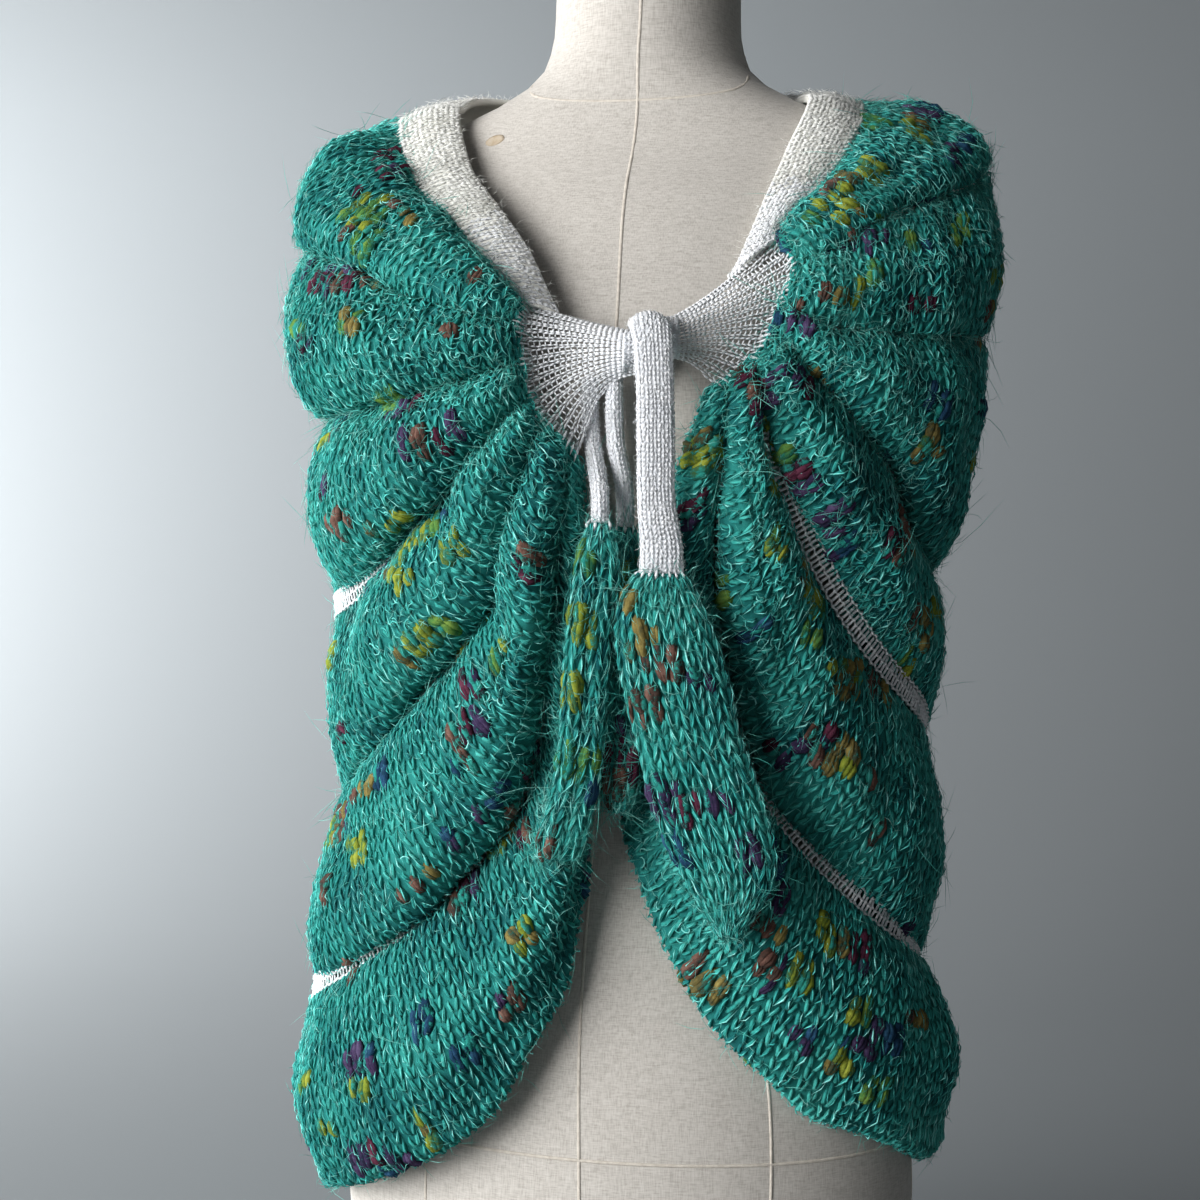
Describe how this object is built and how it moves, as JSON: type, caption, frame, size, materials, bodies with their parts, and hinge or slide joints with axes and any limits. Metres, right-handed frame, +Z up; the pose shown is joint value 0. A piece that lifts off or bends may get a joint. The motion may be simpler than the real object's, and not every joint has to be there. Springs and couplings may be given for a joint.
{
  "type": "knitted poncho on a limbless dress form",
  "caption": "Chunky knitted open poncho with gathered lengthwise panels, openwork fans and hanging knitted ties, worn on a limbless linen dress form.",
  "frame": {"origin": "centre of the dress form's flat base", "axes": "+Z up along the form's neck, the garment's open front towards -Y, its left fan as seen from the front at -X"},
  "size_m": [0.4492, 0.3401, 0.94],
  "materials": {
    "linen": "plain woven natural linen",
    "teal_yarn": "chunky brushed teal yarn with coloured slubs",
    "white_yarn": "smooth fine white yarn",
    "cream_yarn": "fluffy cream ribbing"
  },
  "bodies": {
    "root": {"dress_form": "linen", "panel_1": "teal_yarn", "panel_2": "teal_yarn", "panel_3": "teal_yarn", "panel_4": "teal_yarn", "panel_5": "teal_yarn", "panel_6": "teal_yarn", "row_1": "white_yarn", "row_2": "white_yarn", "row_3": "white_yarn", "row_4": "white_yarn", "row_5": "white_yarn", "neckband": "cream_yarn", "fan_left": "white_yarn", "fan_right": "white_yarn", "crossing": "white_yarn", "cord_wide": "white_yarn", "cord_a": "white_yarn", "cord_b": "white_yarn", "tail_wide": "teal_yarn", "tail_a": "teal_yarn", "tail_b": "teal_yarn"}
  },
  "joints": []
}
